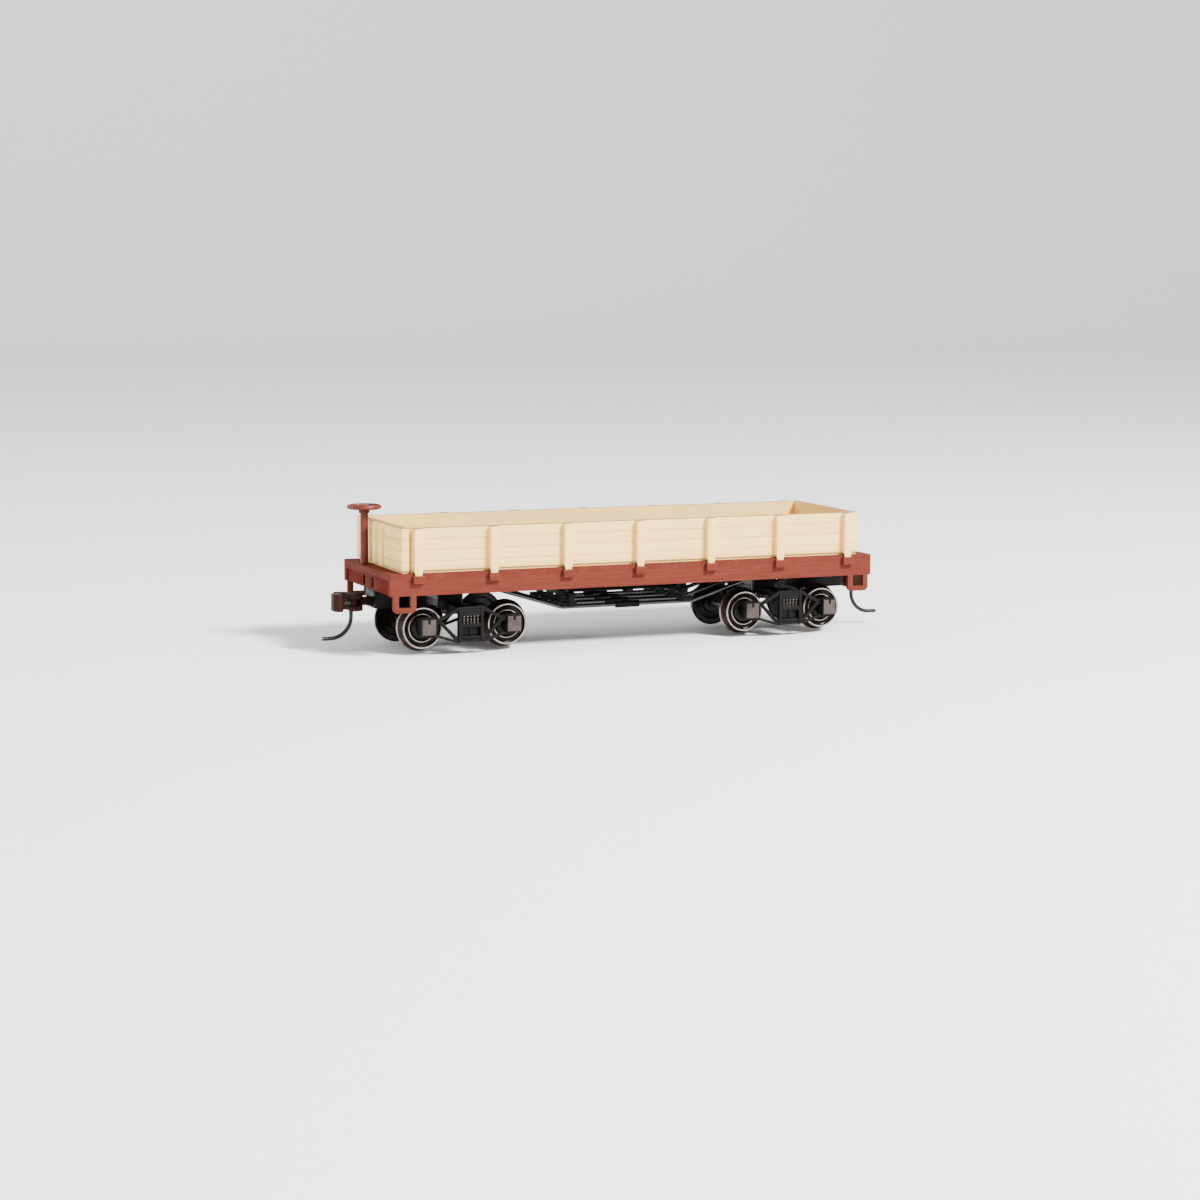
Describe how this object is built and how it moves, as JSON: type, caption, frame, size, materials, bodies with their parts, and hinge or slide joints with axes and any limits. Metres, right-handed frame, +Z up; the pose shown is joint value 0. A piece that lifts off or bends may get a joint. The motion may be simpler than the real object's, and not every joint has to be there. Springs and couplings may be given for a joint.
{
  "type": "model flat car",
  "caption": "Model railway flat car with a low stake-sided box of planks, hand brake, truss rods, knuckle couplers and two swivelling four-wheel trucks.",
  "frame": {"origin": "middle of the car in plan, at the height of the lowest points of the wheel flanges", "axes": "+X along the car from the hand-brake end to the plain end, +Y to the car's left, +Z up"},
  "size_m": [0.1408, 0.0352, 0.0322],
  "materials": {
    "frame_red": "matte oxide red",
    "box_cream": "matte cream, thin paint worn on the top edges",
    "weight_steel": "plain sheet",
    "underframe_black": "self-coloured black, slight sheen",
    "screw_steel": "blackened",
    "brake_red": "oxide red",
    "coupler_brown": "dark rust brown",
    "trip_steel": "blackened wire",
    "spring_bronze": "spring bronze",
    "truck_black": "satin black",
    "wheel_steel": "turned, bright rim, dark dished face",
    "axle_steel": "turned",
    "bush_plastic": "black"
  },
  "bodies": {
    "car_body": {"frame_deck": "frame_red", "left_side_panel": "box_cream", "right_side_panel": "box_cream", "brake_end_panel": "box_cream", "plain_end_panel": "box_cream", "ballast_weight": "weight_steel", "underframe": "underframe_black", "underframe_screws": "screw_steel", "needle_beam_a": "underframe_black", "needle_beam_b": "underframe_black", "truss_rod_1": "underframe_black", "truss_rod_2": "underframe_black", "truss_rod_3": "underframe_black", "truss_rod_4": "underframe_black", "turnbuckles": "underframe_black", "brake_rigging": "underframe_black", "centring_spring_a": "spring_bronze", "centring_spring_b": "spring_bronze", "coupler_box_lid_a": "underframe_black", "coupler_box_lid_b": "underframe_black", "lid_screw_a": "screw_steel", "lid_screw_b": "screw_steel", "kingpin_screw_a": "screw_steel", "kingpin_screw_b": "screw_steel"},
    "brake_handwheel": {"brake_staff": "brake_red", "brake_wheel": "brake_red"},
    "truck_a": {"truck_bolster_a": "truck_black", "left_side_frame_a": "truck_black", "right_side_frame_a": "truck_black"},
    "wheelset_1": {"axle_1": "axle_steel", "left_wheel_1": "wheel_steel", "right_wheel_1": "wheel_steel", "insulating_bushes_1": "bush_plastic"},
    "wheelset_2": {"axle_2": "axle_steel", "left_wheel_2": "wheel_steel", "right_wheel_2": "wheel_steel", "insulating_bushes_2": "bush_plastic"},
    "coupler_a": {"coupler_head_a": "coupler_brown", "knuckle_pin_a": "coupler_brown", "trip_pin_a": "trip_steel", "knuckle_spring_a": "spring_bronze"},
    "knuckle_a": {"knuckle_a": "coupler_brown"},
    "truck_b": {"truck_bolster_b": "truck_black", "left_side_frame_b": "truck_black", "right_side_frame_b": "truck_black"},
    "wheelset_3": {"axle_3": "axle_steel", "left_wheel_3": "wheel_steel", "right_wheel_3": "wheel_steel", "insulating_bushes_3": "bush_plastic"},
    "wheelset_4": {"axle_4": "axle_steel", "left_wheel_4": "wheel_steel", "right_wheel_4": "wheel_steel", "insulating_bushes_4": "bush_plastic"},
    "coupler_b": {"coupler_head_b": "coupler_brown", "knuckle_pin_b": "coupler_brown", "trip_pin_b": "trip_steel", "knuckle_spring_b": "spring_bronze"},
    "knuckle_b": {"knuckle_b": "coupler_brown"}
  },
  "joints": [
    {"name": "brake_wheel_turn", "type": "hinge", "parent": "car_body", "child": "brake_handwheel", "pos_m": [-0.05865, 0.0058, 0.0315], "axis": [0, 0, 1], "continuous": true},
    {"name": "truck_a_swivel", "type": "hinge", "parent": "car_body", "child": "truck_a", "pos_m": [-0.04015, 0, 0.0103], "axis": [0, 0, 1], "range_deg": [-14, 14]},
    {"name": "wheelset_1_roll", "type": "hinge", "parent": "truck_a", "child": "wheelset_1", "pos_m": [-0.0503, 0, 0.0055], "axis": [0, 1, 0], "continuous": true},
    {"name": "wheelset_2_roll", "type": "hinge", "parent": "truck_a", "child": "wheelset_2", "pos_m": [-0.03, 0, 0.0055], "axis": [0, 1, 0], "continuous": true},
    {"name": "coupler_a_swing", "type": "hinge", "parent": "car_body", "child": "coupler_a", "pos_m": [-0.0522, 0, 0.0109], "axis": [0, 0, 1], "range_deg": [-10, 10], "stiffness_Nm_per_rad": 0.0005},
    {"name": "knuckle_a_open", "type": "hinge", "parent": "coupler_a", "child": "knuckle_a", "pos_m": [-0.06375, -0.0013, 0.0109], "axis": [0, 0, 1], "range_deg": [0, 28], "stiffness_Nm_per_rad": 0.00005, "springref_deg": -11.46, "deforming": ["knuckle_spring_a"]},
    {"name": "truck_b_swivel", "type": "hinge", "parent": "car_body", "child": "truck_b", "pos_m": [0.04015, 0, 0.0103], "axis": [0, 0, 1], "range_deg": [-14, 14]},
    {"name": "wheelset_3_roll", "type": "hinge", "parent": "truck_b", "child": "wheelset_3", "pos_m": [0.03, 0, 0.0055], "axis": [0, 1, 0], "continuous": true},
    {"name": "wheelset_4_roll", "type": "hinge", "parent": "truck_b", "child": "wheelset_4", "pos_m": [0.0503, 0, 0.0055], "axis": [0, 1, 0], "continuous": true},
    {"name": "coupler_b_swing", "type": "hinge", "parent": "car_body", "child": "coupler_b", "pos_m": [0.0522, 0, 0.0109], "axis": [0, 0, 1], "range_deg": [-10, 10], "stiffness_Nm_per_rad": 0.0005},
    {"name": "knuckle_b_open", "type": "hinge", "parent": "coupler_b", "child": "knuckle_b", "pos_m": [0.06375, 0.0013, 0.0109], "axis": [0, 0, 1], "range_deg": [0, 28], "stiffness_Nm_per_rad": 0.00005, "springref_deg": -11.46, "deforming": ["knuckle_spring_b"]}
  ]
}
